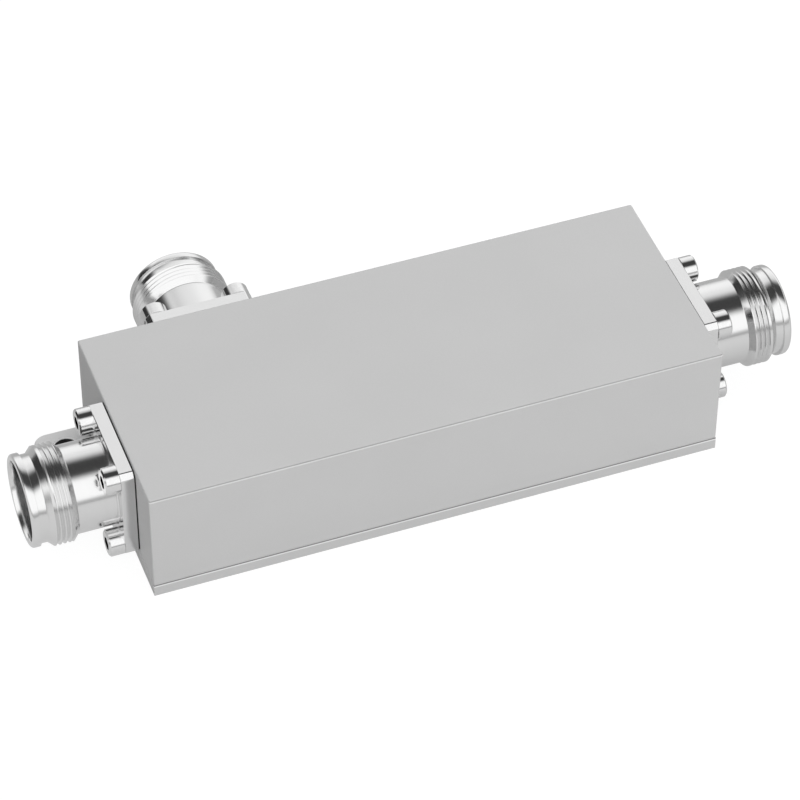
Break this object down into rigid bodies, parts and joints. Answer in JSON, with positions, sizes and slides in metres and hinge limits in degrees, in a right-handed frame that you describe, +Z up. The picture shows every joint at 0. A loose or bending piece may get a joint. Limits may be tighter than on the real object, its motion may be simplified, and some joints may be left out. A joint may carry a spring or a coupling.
{
  "type": "rf power splitter",
  "caption": "Coaxial power splitter in a milled box with threaded jacks at both ends and on one side, and mounting ears on its base cover.",
  "frame": {"origin": "middle of the box's underside, on the base cover", "axes": "+X along the box towards the plain end's jack, +Y towards the side jack, +Z up"},
  "size_m": [0.1588, 0.0674, 0.0261],
  "materials": {
    "housing_coat": "matte light grey coat on milled aluminium",
    "jack_plating": "turned brass with a bright silver-white plating",
    "contact_plating": "bright silver plating",
    "screw_steel": "bright stainless steel",
    "gasket_sheet": "thin dark sheet",
    "seal_rubber": "moulded cord",
    "insulator_plastic": "white insulator",
    "saddle_plastic": "white insulator",
    "line_brass": "turned brass"
  },
  "bodies": {
    "root": {"housing": "housing_coat", "base_cover": "housing_coat", "cover_seal": "seal_rubber", "cover_screws": "screw_steel", "main_line": "line_brass", "branch_line": "line_brass", "left_saddle": "saddle_plastic", "right_saddle": "saddle_plastic", "left_jack": "jack_plating", "left_insulator": "insulator_plastic", "left_contact": "contact_plating", "left_flange_gasket": "gasket_sheet", "left_flange_screws": "screw_steel", "right_jack": "jack_plating", "right_insulator": "insulator_plastic", "right_contact": "contact_plating", "right_flange_gasket": "gasket_sheet", "right_flange_screws": "screw_steel", "side_jack": "jack_plating", "side_insulator": "insulator_plastic", "side_contact": "contact_plating", "side_flange_gasket": "gasket_sheet", "side_flange_screws": "screw_steel"}
  },
  "joints": []
}
